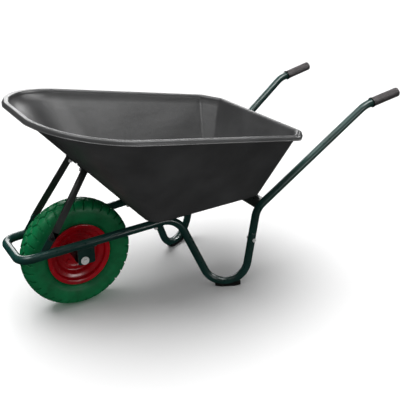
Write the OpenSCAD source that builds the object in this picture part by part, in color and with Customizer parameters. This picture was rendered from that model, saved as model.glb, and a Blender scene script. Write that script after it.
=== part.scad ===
// Single-wheel garden barrow: a plastic tray on a bent tube frame with a red rim and a solid tyre.
// All x sizes are measured from the axle of a 400 mm wheel, +X towards the wheel end, +Y to the
// left, +Z up. A wheel of another size keeps its rear edge where it is, so its axle moves.
// The part's origin is on the ground, under the middle of the barrow's length.

/* [Wheel] */
// Outer diameter of the tyre
tyre_d = 400; // [350:5:480]
// Width of the tyre at its widest
tyre_w = 97; // [82:1:112]
// Diameter over the rim's rolled edges
rim_d = 232; // [200:1:270]
// Width over the rim's rolled edges
rim_w = 78; // [66:1:90]
// Thickness of the pressed rim sheet
rim_sheet = 2.4; // [1.5:0.1:4]
// Diameter of the axle bar
axle_d = 20; // [16:0.5:24]
// Outer diameter of the hub tube
hub_d = 46; // [44:1:56]
// Length of the hub tube
hub_len = 112; // [96:1:120]

/* [Lower frame] */
// Outer diameter of every frame tube
tube_d = 30; // [25:1:36]
// Wall of every frame tube
tube_wall = 1.5; // [1:0.1:2.5]
// Gap between the tyre and the centreline of the front bar
nose_gap = 25; // [20:1:45]
// Height of the front bar's centreline
nose_z = 261; // [240:1:290]
// Distance between the rails' centrelines at the front bar
nose_w = 186; // [170:1:220]
// Bend radius of the front corners
nose_bend_r = 42; // [30:1:60]
// Distance behind the axle where the rails turn down into the legs
leg_top_back = 348; // [320:1:400]
// Height of the rails' centrelines there
leg_top_z = 294; // [280:1:320]
// Distance between the rails' centrelines there
leg_top_w = 242; // [220:1:280]
// Distance behind the axle of the feet's front ends
foot_front_back = 460; // [430:1:480]
// Distance between the feet's front ends
foot_front_w = 349; // [330:1:380]
// Distance behind the axle of the feet's rear ends
foot_rear_back = 575; // [560:1:600]
// Distance between the feet's rear ends
foot_rear_w = 463; // [440:1:490]
// Bend radius of the legs
leg_bend_r = 84; // [60:1:85]
// Thickness of the plastic shoe under each foot
shoe_t = 4; // [2:0.5:8]

/* [Handles] */
// Height of the joint between leg and handle tube
joint_z = 205; // [180:1:220]
// Distance behind the axle of the handles' lower bend
handle_low_back = 634; // [620:1:660]
// Height of the handles' lower bend
handle_low_z = 297; // [285:1:320]
// Distance between the handles at the lower bend
handle_low_w = 434; // [424:1:460]
// Distance behind the axle of the handles' upper bend
handle_high_back = 1090; // [1000:1:1180]
// Height of the handles' upper bend
handle_high_z = 631; // [580:1:680]
// Distance between the handles at the upper bend
handle_high_w = 520; // [480:1:560]
// Distance behind the axle of the grips' ends
handle_end_back = 1247; // [1230:1:1500]
// Height of the grips' ends
handle_end_z = 664; // [600:1:720]
// Distance between the grips' ends
handle_end_w = 538; // [500:1:600]
// Length of the swaged end of a handle tube inside the leg
spigot_len = 45; // [35:1:60]
// Length of a grip
grip_len = 128; // [100:1:132]
// Thickness of the grip's wall
grip_wall = 2.6; // [2:0.1:5]

/* [Tray] */
// Distance in front of the axle of the tray's front lip
rim_front_x = 164; // [120:1:200]
// Distance behind the axle of the tray's rear lip
rim_back = 796; // [760:1:860]
// Height of the lip at the front
rim_front_z = 743; // [700:1:800]
// Height of the lip at the back
rim_back_z = 583; // [540:1:640]
// Width of the lip's outline at its front corners, before rounding
rim_front_w = 762; // [700:1:800]
// Width of the lip's outline at its rear corners, before rounding
rim_back_w = 668; // [560:1:680]
// Width of the lip band
lip_w = 20; // [14:0.5:26]
// Height of the lip band
lip_h = 16; // [12:0.5:20]
// Thickness of the tray's walls, measured level
tray_wall = 5; // [3:0.5:7]
// Thickness of the tray's floor
floor_t = 5; // [3:0.5:8]
// Distance behind the axle of the floor's front edge
floor_front_back = 235; // [215:1:250]
// Distance behind the axle of the floor's rear edge
floor_rear_back = 676; // [668:1:690]
// Width of the floor at the front
floor_front_w = 308; // [300:1:330]
// Width of the floor at the back
floor_rear_w = 370; // [340:1:380]

/* [Braces and fittings] */
// Width of the flat braces
brace_w = 25; // [20:1:30]
// Thickness of the braces, lugs and brackets
plate_t = 4; // [3:0.5:5]
// Distance in front of the axle of the brace's lower bolt
brace_foot_x = 110; // [95:1:125]
// Height of the brace's lower bolt above the ground
brace_foot_z = 320; // [312:1:330]
// Width of the axle brackets
bracket_w = 62; // [50:1:80]
// Thread of the axle bolts
axle_bolt_d = 10; // [8:1:12]
// Thread of every other bolt
bolt_d = 8; // [6:1:8]

/* [Hidden] */
$fn = 48;

frame_green = "#16352b";
dark_steel = "#2c302e";
zinc = "#c9ccce";

gap = 0.05;            // left between faces that touch or are welded
slide_gap = 0.1;       // all round between a sleeve and the tube inside it
hole_gap = 0.25;       // all round between a bolt and its hole
collar = 0.02;         // how far a tube's joint collars stand proud
tube_r = tube_d / 2;
bore_d = tube_d - 2 * tube_wall;

// ---------- where things are ----------
axle_z = tyre_d / 2;
standard_tyre_d = 400;
wheel_x = (tyre_d - standard_tyre_d) / 2;   // where the axle is
nose_x = wheel_x + tyre_d / 2 + nose_gap;
foot_z = shoe_t + tube_r;
nose = [nose_x, nose_w / 2, nose_z];
leg_top = [-leg_top_back, leg_top_w / 2, leg_top_z];
foot_front = [-foot_front_back, foot_front_w / 2, foot_z];
foot_rear = [-foot_rear_back, foot_rear_w / 2, foot_z];
handle_low = [-handle_low_back, handle_low_w / 2, handle_low_z];
handle_high = [-handle_high_back, handle_high_w / 2, handle_high_z];
handle_end = [-handle_end_back, handle_end_w / 2, handle_end_z];
joint = foot_rear + (handle_low - foot_rear) * (joint_z - foot_z) / (handle_low_z - foot_z);
leg_dir = unit(handle_low - foot_rear);
grip_dir = unit(handle_end - handle_high);
handle_bend_r = 80;
grip_bend_r = 100;
grip_end_t = 4;         // solid end of a grip, past the end of the tube

// The frame tube's corners from the left leg's end round to the front bar, then back on the right.
left_path = [joint, foot_rear, foot_front, leg_top, nose];
left_bends = [0, leg_bend_r, leg_bend_r, leg_bend_r, nose_bend_r];
frame_path = concat(left_path, [for (p = backwards(left_path)) [p[0], -p[1], p[2]]]);
frame_bends = concat(left_bends, backwards(left_bends));
handle_path = [joint, handle_low, handle_high, handle_end - grip_dir * grip_end_t];
handle_bends = [0, handle_bend_r, grip_bend_r, 0];

// The barrow reaches from the front bar to the grips' ends, and the origin is half way between.
grip_r = tube_r + slide_gap + grip_wall;
back_reach = handle_end_back + grip_r * sqrt(1 - grip_dir[0] * grip_dir[0]);
axle_x = (back_reach - nose_x - tube_r) / 2;

// ---------- vectors and placing ----------
function unit(v) = v / norm(v);
function backwards(list) = [for (i = [len(list) - 1 : -1 : 0]) list[i]];
function rail_at(x) = nose + (leg_top - nose) * (nose_x - x) / (nose_x + leg_top_back);
function heading(path, i) = unit(path[i + 1] - path[i]);
function turn(path, i) = acos(heading(path, i - 1) * heading(path, i));
function setback(path, bends, i) =
    i == 0 || i == len(path) - 1 ? 0 : bends[i] * tan(turn(path, i) / 2);
// A direction square to `dir`, as near to `wanted` as it can be.
function square_to(dir, wanted) = unit(wanted - (wanted * dir) * dir);

// Moves what is measured from the standard axle into the part's own frame.
module from_axle() translate([axle_x, 0, 0]) children();

module both_sides() {
    children();
    mirror([0, 1, 0]) children();
}

// side is 1 for the left and -1 for the right.
module on_side(side) {
    if (side > 0) children();
    else mirror([0, 1, 0]) children();
}

module in_axes(origin, x_dir, y_dir) {
    z_dir = cross(x_dir, y_dir);
    multmatrix([
        [x_dir[0], y_dir[0], z_dir[0], origin[0]],
        [x_dir[1], y_dir[1], z_dir[1], origin[1]],
        [x_dir[2], y_dir[2], z_dir[2], origin[2]]
    ]) children();
}

// Stands the children's +Z along `dir`, with their +X as near to the part's +X as it can be.
module stand_along(origin, dir) {
    x_dir = square_to(dir, abs(dir[0]) > 0.99 ? [0, 0, 1] : [1, 0, 0]);
    in_axes(origin, x_dir, cross(dir, x_dir)) children();
}

// ---------- bent tube ----------
module straight_bar(a, b, d) stand_along(a, unit(b - a)) cylinder(d = d, h = norm(b - a));

module straight_tube(a, b, outer_d, inner_d) stand_along(a, unit(b - a)) difference() {
    cylinder(d = outer_d, h = norm(b - a));
    translate([0, 0, -1]) cylinder(d = inner_d, h = norm(b - a) + 2);
}

module bar_bend(path, bends, i, d) {
    way_in = heading(path, i - 1);
    inward = square_to(way_in, heading(path, i));
    centre = path[i] - way_in * setback(path, bends, i) + inward * bends[i];
    in_axes(centre, -inward, way_in)
        rotate_extrude(angle = turn(path, i)) translate([bends[i], 0]) circle(d = d);
}

module joint_collar(d) cylinder(d = d + 2 * collar, h = 1, center = true);

// A round bar of straight lengths and bends through the corners of `path`. A hair-wide collar
// over each joint makes the lengths and the bends one solid.
module bent_bar(path, bends, d) {
    for (i = [0 : len(path) - 2])
        straight_bar(path[i] + heading(path, i) * setback(path, bends, i),
                     path[i + 1] - heading(path, i) * setback(path, bends, i + 1), d);
    for (i = [1 : len(path) - 2]) {
        reach = setback(path, bends, i);
        bar_bend(path, bends, i, d);
        stand_along(path[i] - heading(path, i - 1) * reach, heading(path, i - 1)) joint_collar(d);
        stand_along(path[i] + heading(path, i) * reach, heading(path, i)) joint_collar(d);
    }
}

// The same with a bore all through it; the bore runs out past both ends.
module bent_tube(path, bends, outer_d, bore_d) {
    last = len(path) - 1;
    long_path = [for (i = [0 : last])
        path[i] + (i == 0 ? -heading(path, 0) : i == last ? heading(path, last - 1) : [0, 0, 0])];
    difference() {
        bent_bar(path, bends, outer_d);
        bent_bar(long_path, bends, bore_d);
    }
}

// ---------- fasteners, each standing on z = 0 with its shank down ----------
module hex_bolt(d, length, across, head_h) {
    cylinder(d = across / cos(30), h = head_h, $fn = 6);
    translate([0, 0, -length]) cylinder(d = d, h = length + 1);
}

module carriage_bolt(d, length, head_d, head_h) {
    dome_r = (head_d * head_d / 4 + head_h * head_h) / (2 * head_h);
    intersection() {
        translate([0, 0, head_h - dome_r]) sphere(r = dome_r);
        cylinder(d = head_d, h = head_h);
    }
    translate([0, 0, -length]) cylinder(d = d, h = length + head_h / 2);
}

module hex_nut(d, across, h) {
    difference() {
        cylinder(d = across / cos(30), h = h, $fn = 6);
        translate([0, 0, -1]) cylinder(d = d + 2 * gap, h = h + 2);
    }
}

module bolt_hole(d, length) translate([0, 0, -length]) cylinder(d = d + 2 * hole_gap, h = 2 * length);

bolt_across = 1.625 * bolt_d;
bolt_head_h = 0.66 * bolt_d;
nut_h = 0.8 * bolt_d;
tail = 4;              // how far a bolt comes out past its nut

// ---------- lower frame ----------
joint_bolt_drop = 26;  // from the end of the leg tube down to the bolt
joint_bolt_at = joint - leg_dir * joint_bolt_drop;
joint_bolt_axis = square_to(leg_dir, [0, 1, 0]);

floor_slope = (leg_top_z - nose_z) / (nose_x + leg_top_back);
floor_tilt = atan(floor_slope);
rail_tilt = asin(unit(leg_top - nose)[2]);
// Height, over the axle, of the plane that lies on both rails
floor_z0 = nose_z + floor_slope * nose_x + (tube_r + gap) / cos(rail_tilt);
rail_bolt_x = -262;
rail_bolt_y = rail_at(rail_bolt_x)[1];

// The plane of the tray's floor: +Z is square to the floor and x = 0 is over the axle.
module on_floor() translate([0, 0, floor_z0]) rotate([0, floor_tilt, 0]) children();
module at_rail_bolt() on_floor() translate([rail_bolt_x / cos(floor_tilt), rail_bolt_y, 0]) children();

module main_frame_tube() color(frame_green) from_axle() {
    difference() {
        bent_tube(frame_path, frame_bends, tube_d, bore_d);
        both_sides() {
            stand_along(joint_bolt_at, joint_bolt_axis) bolt_hole(bolt_d, tube_d);
            at_rail_bolt() bolt_hole(bolt_d, 1.5 * tube_d);
        }
    }
}

// ---------- axle brackets: folded plates welded under the rails ----------
bracket_in_y = 82;     // inner faces of the brackets, measured from the middle
bracket_front_x = 24;
bracket_below = 15;    // how far a bracket reaches below the axle's centre
bracket_top = rail_at(wheel_x) - [0, 0, (tube_r + gap) / cos(rail_tilt)];
bracket_flange = bracket_top[1] - bracket_in_y + 6;
corner_r = 8;

module axle_bracket() {
    difference() {
        union() {
            translate([0, bracket_in_y + plate_t, 0]) rotate([90, 0, 0]) linear_extrude(plate_t)
                difference() {
                    union() {
                        translate([bracket_front_x - bracket_w, axle_z - bracket_below + corner_r])
                            square([bracket_w, bracket_top[2] - axle_z + bracket_below]);
                        translate([bracket_front_x - bracket_w + corner_r, axle_z - bracket_below])
                            square([bracket_w - 2 * corner_r, 2 * corner_r]);
                        for (x = [bracket_front_x - bracket_w + corner_r, bracket_front_x - corner_r])
                            translate([x, axle_z - bracket_below + corner_r]) circle(corner_r);
                    }
                    translate([0, bracket_top[2]]) rotate(-floor_tilt)
                        translate([-bracket_w, 0]) square([2 * bracket_w, tube_d]);
                }
            translate([0, bracket_in_y, bracket_top[2]]) rotate([0, floor_tilt, 0])
                translate([bracket_front_x - bracket_w, 0, -plate_t])
                cube([bracket_w, bracket_flange, plate_t]);
        }
        translate([0, bracket_in_y, axle_z]) rotate([-90, 0, 0]) bolt_hole(axle_bolt_d, 2 * plate_t);
    }
}

module left_axle_bracket() color(frame_green) from_axle() translate([wheel_x, 0, 0]) axle_bracket();
module right_axle_bracket() color(frame_green) from_axle() translate([wheel_x, 0, 0]) on_side(-1)
    axle_bracket();

// ---------- tray ----------
rim_slope = (rim_front_z - rim_back_z) / (rim_front_x + rim_back);
rim_tilt = atan(rim_slope);
rim_z0 = rim_front_z - rim_slope * rim_front_x;
rim_flat_w = 236;      // straight middle of the lip's front
floor_flat_w = 150;    // straight middle of the floor's front edge
flat_r = 150;          // radius where those middles turn into the swept corners
rim_sweep = 66;        // how far the front corners are set back from the middle
floor_sweep = 1;
rim_front_r = 262;
rim_back_r = 90;
arc_steps = 10;
floor_edge = 10;       // size of the slope that rounds the floor into the walls
floor_front_r = 36;
floor_rear_r = 24;
lip_t = 3.5;

// The points of an arc of radius at[2] that rounds the corner `at` of an outline.
function arc_points(before, at, after) =
    let (
        corner = [at[0], at[1]],
        to_before = unit([before[0], before[1]] - corner),
        to_after = unit([after[0], after[1]] - corner),
        half = acos(to_before * to_after) / 2,
        centre = corner + unit(to_before + to_after) * at[2] / sin(half),
        first = corner + to_before * at[2] / tan(half) - centre,
        last = corner + to_after * at[2] / tan(half) - centre,
        sweep = 180 - 2 * half
    )
    [for (k = [0 : arc_steps])
        centre + (first * sin(sweep * (1 - k / arc_steps)) + last * sin(sweep * k / arc_steps)) / sin(sweep)];

// The tray's outline at one level: a straight front with swept-back corners, tapering to the back.
function outline(front, back, w, w_back, flat_w, sweep, front_r, back_r) =
    let (
        corners = [
            [front, -flat_w / 2, flat_r], [front, flat_w / 2, flat_r],
            [front - sweep, w, front_r], [back, w_back, back_r],
            [back, -w_back, back_r], [front - sweep, -w, front_r]
        ],
        n = len(corners)
    )
    [for (i = [0 : n - 1]) each arc_points(corners[(i + n - 1) % n], corners[i], corners[(i + 1) % n])];

// A ring in the lip's sloping plane, z above it and drawn in by `inset`
function lip_ring(z, inset) = [
    for (p = outline(rim_front_x / cos(rim_tilt) - inset, -rim_back / cos(rim_tilt) + inset,
                     rim_front_w / 2 - inset, rim_back_w / 2 - inset,
                     rim_flat_w, rim_sweep, rim_front_r - inset, rim_back_r - inset))
        [p[0] * cos(rim_tilt) - z * sin(rim_tilt), p[1], rim_z0 + p[0] * sin(rim_tilt) + z * cos(rim_tilt)]
];

// A point of the x-z plane in the floor's frame: x along the floor, z square to it
function in_floor_frame(p) = [
    p[0] * cos(floor_tilt) - (p[1] - floor_z0) * sin(floor_tilt),
    p[0] * sin(floor_tilt) + (p[1] - floor_z0) * cos(floor_tilt)
];
// The top of a wall's outer face, level with the bottom of the lip band, in the x-z plane
function wall_top(x) = [x + lip_h * sin(rim_tilt), rim_z0 + rim_slope * x - lip_h * cos(rim_tilt)];
wall_front_top = in_floor_frame(wall_top(rim_front_x - lip_w * cos(rim_tilt)));
wall_back_top = in_floor_frame(wall_top(-rim_back + lip_w * cos(rim_tilt)));
floor_front_x = -floor_front_back / cos(floor_tilt);
floor_rear_x = -floor_rear_back / cos(floor_tilt);

// A ring of the walls at height h over the floor's underside, drawn in by `inset`
function wall_ring(h, inset) =
    let (up_front = h / wall_front_top[1], up_back = h / wall_back_top[1])
    [
        for (p = outline(floor_front_x + (wall_front_top[0] - floor_front_x) * up_front - inset,
                         floor_rear_x + (wall_back_top[0] - floor_rear_x) * up_back + inset,
                         floor_front_w / 2 + (rim_front_w / 2 - lip_w - floor_front_w / 2) * up_front - inset,
                         floor_rear_w / 2 + (rim_back_w / 2 - lip_w - floor_rear_w / 2) * up_back - inset,
                         floor_flat_w, floor_sweep, floor_front_r, floor_rear_r))
            [p[0] * cos(floor_tilt) + h * sin(floor_tilt), p[1],
             floor_z0 - p[0] * sin(floor_tilt) + h * cos(floor_tilt)]
    ];

// A closed skin over a list of rings that all have the same number of points
function middle(ring) = [for (axis = [0 : 2]) ([for (p = ring) p[axis]] * [for (p = ring) 1]) / len(ring)];
module skin(rings) {
    n = len(rings[0]);
    last = len(rings) - 1;
    polyhedron(
        points = concat([for (ring = rings) each ring], [middle(rings[0]), middle(rings[last])]),
        faces = concat(
            [for (r = [0 : last - 1], k = [0 : n - 1]) [r * n + k, (r + 1) * n + k, r * n + (k + 1) % n]],
            [for (r = [0 : last - 1], k = [0 : n - 1])
                [r * n + (k + 1) % n, (r + 1) * n + k, (r + 1) * n + (k + 1) % n]],
            [for (k = [0 : n - 1]) [(last + 1) * n, k, (k + 1) % n]],
            [for (k = [0 : n - 1]) [(last + 1) * n + 1, last * n + (k + 1) % n, last * n + k]]
        ));
}

// The front wall's outer face in the x-z plane: its lowest point and its outward direction
wall_low = [-floor_front_back, floor_z0 + floor_slope * floor_front_back];
wall_high = wall_top(rim_front_x - lip_w * cos(rim_tilt));
wall_up = unit(wall_high - wall_low);
wall_out = [wall_up[1], -wall_up[0]];

rear_bolt_x = -651;
rear_bolt_y = 120;
module at_rear_bolt() on_floor() translate([rear_bolt_x / cos(floor_tilt), rear_bolt_y, 0]) children();

// From the floor's underside up the outside, over the lip and down the inside to the floor again
edge_mid = 0.29 * floor_edge;
tray_rings = [
    wall_ring(0, floor_edge), wall_ring(edge_mid, edge_mid), wall_ring(floor_edge, 0),
    lip_ring(-lip_h, lip_w), lip_ring(-lip_t, lip_w - lip_t), lip_ring(-lip_t, lip_t),
    lip_ring(-lip_h, lip_t), lip_ring(-lip_h, 0), lip_ring(-lip_t, 0), lip_ring(-lip_t / 4, lip_t / 4),
    lip_ring(0, lip_t), lip_ring(0, lip_w - 1.5 * lip_t), lip_ring(-lip_t / 2, lip_w - lip_t / 2),
    lip_ring(-lip_h, lip_w + tray_wall),
    wall_ring(floor_t + floor_edge, tray_wall), wall_ring(floor_t + edge_mid, tray_wall + edge_mid),
    wall_ring(floor_t, tray_wall + floor_edge)
];

module tray() color("#3a3b3d") from_axle() {
    difference() {
        skin(tray_rings);
        both_sides() {
            at_brace_ear() bolt_hole(bolt_d, 4 * tray_wall);
            at_rail_bolt() bolt_hole(bolt_d, 4 * floor_t);
            at_rear_bolt() bolt_hole(bolt_d, 4 * floor_t);
        }
    }
}

// ---------- braces: a flat strap with a folded ear against the tray's front wall ----------
lug_inset = 8;         // from the rail's centreline in to the middle of the lug
brace_angle = 34.5;    // how far the braces lean back from upright
brace_lean = 6;        // how far they lean in towards each other above their bends
brace_bend_up = 22;    // from the lower bolt up to the bend
brace_overlap = 1;     // how far the strap's two lengths run into each other at the bend
ear_len = 38;
ear_w = 30;
brace_foot = [brace_foot_x, brace_foot_z];
brace_up = [-sin(brace_angle), cos(brace_angle)];
brace_across = [cos(brace_angle), sin(brace_angle)];
lug_y = rail_at(brace_foot_x)[1] - lug_inset + plate_t / 2;   // outer face of the lug
brace_y = lug_y + gap;                                        // inner face of the strap

// Where a line from `p` along the brace meets the tray's front wall
function wall_hit(p) = p + brace_up * (((wall_low - p) * wall_out) / (brace_up * wall_out));
brace_head = wall_hit(brace_foot);
brace_bend = brace_foot + brace_up * brace_bend_up;
brace_head_in = norm(brace_head - brace_bend) * tan(brace_lean);
ear_bolt_in = ear_len - 14;

function in_side_plane(p) = [p[0], 0, p[1]];
// Stands +Z along the wall's outward direction at the ear's bolt; x runs up the wall.
module at_brace_ear()
    in_axes([brace_head[0], brace_y + plate_t - brace_head_in - ear_bolt_in, brace_head[1]]
            + in_side_plane(wall_out) * gap, in_side_plane(wall_up), [0, -1, 0]) children();

// An outline in the x-z plane, given a thickness from y_in outwards
module upright_plate(y_in, t) translate([0, y_in + t, 0]) rotate([90, 0, 0]) linear_extrude(t) children();
module at_brace_foot(y) translate([brace_foot_x, y, brace_foot_z]) rotate([-90, 0, 0]) children();

// Leans what is above the bend inwards, turning about the middle of the strap's thickness.
module leaned_in() {
    hinge = in_side_plane(brace_bend) + [0, brace_y + plate_t / 2, 0];
    translate(hinge) rotate(brace_lean, in_side_plane(brace_across)) translate(-hinge) children();
}

// The end of the strap, drawn before it leans, above `p` on the bend: inside the ear's thickness
function strap_end(p) = p + (wall_hit(p) - p) / cos(brace_lean) - brace_up * brace_overlap;

module brace() {
    half = brace_across * brace_w / 2;
    past = brace_up * brace_overlap;
    difference() {
        union() {
            upright_plate(brace_y, plate_t) {
                polygon([brace_foot - half, brace_foot + half,
                         brace_bend + half + past, brace_bend - half + past]);
                translate(brace_foot) circle(d = brace_w);
            }
            leaned_in() upright_plate(brace_y, plate_t)
                polygon([brace_bend - half - past, brace_bend + half - past,
                         strap_end(brace_bend + half), strap_end(brace_bend - half)]);
            at_brace_ear() translate([-ear_w / 2, -ear_bolt_in, 0]) cube([ear_w, ear_len, plate_t]);
        }
        at_brace_ear() bolt_hole(bolt_d, 3 * plate_t);
        at_brace_foot(brace_y) bolt_hole(bolt_d, 3 * plate_t);
    }
}

module brace_lug() {
    down = [brace_up[0], brace_up[1]] * -(brace_foot_z - rail_at(brace_foot_x)[2]) / brace_up[1];
    half = brace_across * brace_w / 2;
    up = brace_up * brace_w / 4;
    difference() {
        // The lug's top corners are cut off.
        upright_plate(lug_y - plate_t, plate_t)
            polygon([brace_foot - half + up, brace_foot - half / 2 + 2 * up,
                     brace_foot + half / 2 + 2 * up, brace_foot + half + up,
                     brace_foot + half + down, brace_foot - half + down]);
        straight_bar(nose, leg_top, tube_d + 2 * gap);
        // Below the rail's centreline nothing of the lug is left.
        in_axes(rail_at(0), unit(leg_top - nose), [0, 1, 0]) translate([-nose_x, -tube_d, 0])
            cube([2 * nose_x, 2 * tube_d, 2 * tube_d]);
        at_brace_foot(lug_y) bolt_hole(bolt_d, 3 * plate_t);
    }
}

module left_brace() color(dark_steel) from_axle() brace();
module right_brace() color(dark_steel) from_axle() on_side(-1) brace();
module left_brace_lug() color(frame_green) from_axle() brace_lug();
module right_brace_lug() color(frame_green) from_axle() on_side(-1) brace_lug();

// ---------- handles ----------
spigot_d = bore_d - 2 * slide_gap;
spigot_bore = spigot_d - 2 * tube_wall;
shoulder_h = 3;
module handle_tube() {
    seam = 0.4;
    path = [joint + leg_dir * seam, handle_path[1], handle_path[2], handle_path[3]];
    difference() {
        union() {
            bent_tube(path, handle_bends, tube_d, bore_d);
            straight_tube(path[0], path[0] + leg_dir * shoulder_h, tube_d, spigot_bore);
            straight_tube(joint - leg_dir * spigot_len, path[0] + leg_dir, spigot_d, spigot_bore);
        }
        stand_along(joint_bolt_at, joint_bolt_axis) bolt_hole(bolt_d, tube_d);
    }
}

module grip() {
    stand_along(handle_end - grip_dir * grip_len, grip_dir) difference() {
        union() {
            cylinder(r = grip_r, h = grip_len);
            cylinder(r = grip_r + 2, h = 5);
        }
        translate([0, 0, -1]) cylinder(d = tube_d + 2 * slide_gap, h = grip_len - grip_end_t + 1 + slide_gap);
    }
}

module left_handle_tube() color(frame_green) from_axle() handle_tube();
module right_handle_tube() color(frame_green) from_axle() on_side(-1) handle_tube();
module left_grip() color("#3b3533") from_axle() grip();
module right_grip() color("#3b3533") from_axle() on_side(-1) grip();

// ---------- rear cross member: an angle between the handle tubes, under the tray's rear edge ----------
cross_front_back = 638;
cross_flange = 35;
cross_drop = 35;
cross_t = 3;
module rear_cross_member() color(dark_steel) from_axle() {
    reach = handle_low_w / 2;
    difference() {
        on_floor() translate([-cross_front_back / cos(floor_tilt), -reach, -gap]) {
            translate([-cross_flange, 0, -cross_t]) cube([cross_flange, 2 * reach, cross_t]);
            translate([-cross_t, 0, -cross_drop]) cube([cross_t, 2 * reach, cross_drop]);
        }
        both_sides() {
            bent_bar(handle_path, handle_bends, tube_d + 2 * gap);
            at_rear_bolt() bolt_hole(bolt_d, 4 * cross_t);
        }
    }
}

// ---------- foot shoes: plastic clips under the legs with a flat sole ----------
shoe_len = 96;
sole_w = 26;
foot_mid = (foot_front + foot_rear) / 2;
foot_dir = unit(foot_rear - foot_front);
sole_rise = 14;        // slope of the sole's ends
module foot_shoe() {
    across = cross([0, 0, 1], foot_dir);
    under_foot = [foot_mid[0], foot_mid[1], 0];
    difference() {
        in_axes(under_foot, foot_dir, across)
            translate([-shoe_len / 2, -sole_w / 2, 0]) cube([shoe_len, sole_w, foot_z]);
        bent_bar(left_path, left_bends, tube_d + 2 * slide_gap);
        // Both ends of the sole rise with the bends of the leg.
        for (end = [-1, 1])
            in_axes(under_foot + foot_dir * end * shoe_len / 4, foot_dir, across)
                rotate([0, -end * sole_rise, 0]) translate([-shoe_len, -sole_w, -tube_d])
                cube([2 * shoe_len, 2 * sole_w, tube_d]);
    }
}

module left_foot_shoe() color("#1b1c1c") from_axle() foot_shoe();
module right_foot_shoe() color("#1b1c1c") from_axle() on_side(-1) foot_shoe();

// ---------- bolts and nuts of the frame and tray ----------
dome_d = 2.1 * bolt_d;
dome_h = 0.45 * bolt_d;
module handle_joint_bolts() color(zinc) from_axle() both_sides()
    stand_along(joint_bolt_at + joint_bolt_axis * (tube_r + gap), joint_bolt_axis)
        hex_bolt(bolt_d, tube_d + nut_h + tail, bolt_across, bolt_head_h);
module handle_joint_nuts() color(zinc) from_axle() both_sides()
    stand_along(joint_bolt_at - joint_bolt_axis * (tube_r + gap), -joint_bolt_axis)
        hex_nut(bolt_d, bolt_across, nut_h);
module brace_lug_bolts() color(zinc) from_axle() both_sides()
    at_brace_foot(brace_y + plate_t + gap)
        hex_bolt(bolt_d, 2 * plate_t + nut_h + tail, bolt_across, bolt_head_h);
module brace_lug_nuts() color(zinc) from_axle() both_sides()
    at_brace_foot(lug_y - plate_t - gap - nut_h) hex_nut(bolt_d, bolt_across, nut_h);

// The front wall is thinner across than level, by the sine of its slope.
front_wall_t = tray_wall * wall_up[1];
module tray_front_bolts() color(zinc) from_axle() both_sides() at_brace_ear()
    translate([0, 0, -front_wall_t - 4 * gap]) mirror([0, 0, 1])
    carriage_bolt(bolt_d, front_wall_t + plate_t + nut_h + tail, dome_d, dome_h);
module tray_front_nuts() color(zinc) from_axle() both_sides() at_brace_ear()
    translate([0, 0, plate_t + gap]) hex_nut(bolt_d, bolt_across, nut_h);

module tray_rail_bolts() color(zinc) from_axle() both_sides() at_rail_bolt()
    translate([0, 0, floor_t + gap]) carriage_bolt(bolt_d, floor_t + tube_d + nut_h + tail, dome_d, dome_h);
module tray_rail_nuts() color(zinc) from_axle() both_sides() at_rail_bolt()
    translate([0, 0, -tube_d - nut_h - 4 * gap]) hex_nut(bolt_d, bolt_across, nut_h);
module tray_rear_bolts() color(zinc) from_axle() both_sides() at_rear_bolt()
    translate([0, 0, floor_t + gap]) carriage_bolt(bolt_d, floor_t + cross_t + nut_h + tail, dome_d, dome_h);
module tray_rear_nuts() color(zinc) from_axle() both_sides() at_rear_bolt()
    translate([0, 0, -cross_t - nut_h - 2 * gap]) hex_nut(bolt_d, bolt_across, nut_h);

// ---------- axle, drawn along +Z and then laid along +Y ----------
module along_axle() translate([wheel_x, 0, axle_z]) rotate([-90, 0, 0]) children();
axle_thread = 26;
washer_t = 2.5;
washer_d = 3 * axle_bolt_d;
spacer_wall = 3.5;
spacer_d = axle_d + 2 * slide_gap + 2 * spacer_wall;

module axle_bar() color("#8d9092") from_axle() along_axle() difference() {
    translate([0, 0, gap - bracket_in_y]) cylinder(d = axle_d, h = 2 * (bracket_in_y - gap));
    for (end = [-1, 1]) translate([0, 0, end * (bracket_in_y - axle_thread / 2)])
        cylinder(d = axle_bolt_d + 2 * gap, h = axle_thread + 4, center = true);
}
module axle_bolts() color(zinc) from_axle() both_sides() along_axle()
    translate([0, 0, bracket_in_y + plate_t + washer_t + 2 * gap])
    hex_bolt(axle_bolt_d, plate_t + washer_t + axle_thread - 4, 1.6 * axle_bolt_d, 0.64 * axle_bolt_d);
module axle_washers() color(zinc) from_axle() both_sides() along_axle()
    translate([0, 0, bracket_in_y + plate_t + gap]) difference() {
        cylinder(d = washer_d, h = washer_t);
        translate([0, 0, -1]) cylinder(d = axle_bolt_d + 2 * hole_gap, h = washer_t + 2);
    }

// ---------- ball bearings ----------
bearing_w = 12;
bearing_d = hub_d - 4;
ball_d = 0.29 * (bearing_d - axle_d);
ball_orbit = (bearing_d + axle_d) / 4;
ball_count = 9;
bearing_out = hub_len / 2 - 1;     // outer face of each bearing, just inside the hub's end
race_gap = 0.03;

module raceway() translate([ball_orbit, bearing_w / 2]) circle(ball_d / 2 + race_gap);
module bearing_inner_ring() along_axle() translate([0, 0, bearing_out - bearing_w]) rotate_extrude()
    difference() {
        translate([axle_d / 2 + gap, 0]) square([ball_orbit - ball_d / 4 - axle_d / 2 - gap, bearing_w]);
        raceway();
    }
module bearing_outer_ring() along_axle() translate([0, 0, bearing_out - bearing_w]) rotate_extrude()
    difference() {
        translate([ball_orbit + ball_d / 4, 0])
            square([bearing_d / 2 - gap - ball_orbit - ball_d / 4, bearing_w]);
        raceway();
    }
module bearing_balls() along_axle() translate([0, 0, bearing_out - bearing_w / 2])
    for (k = [0 : ball_count - 1])
        rotate(360 / ball_count * k) translate([ball_orbit, 0, 0]) sphere(d = ball_d);

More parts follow.
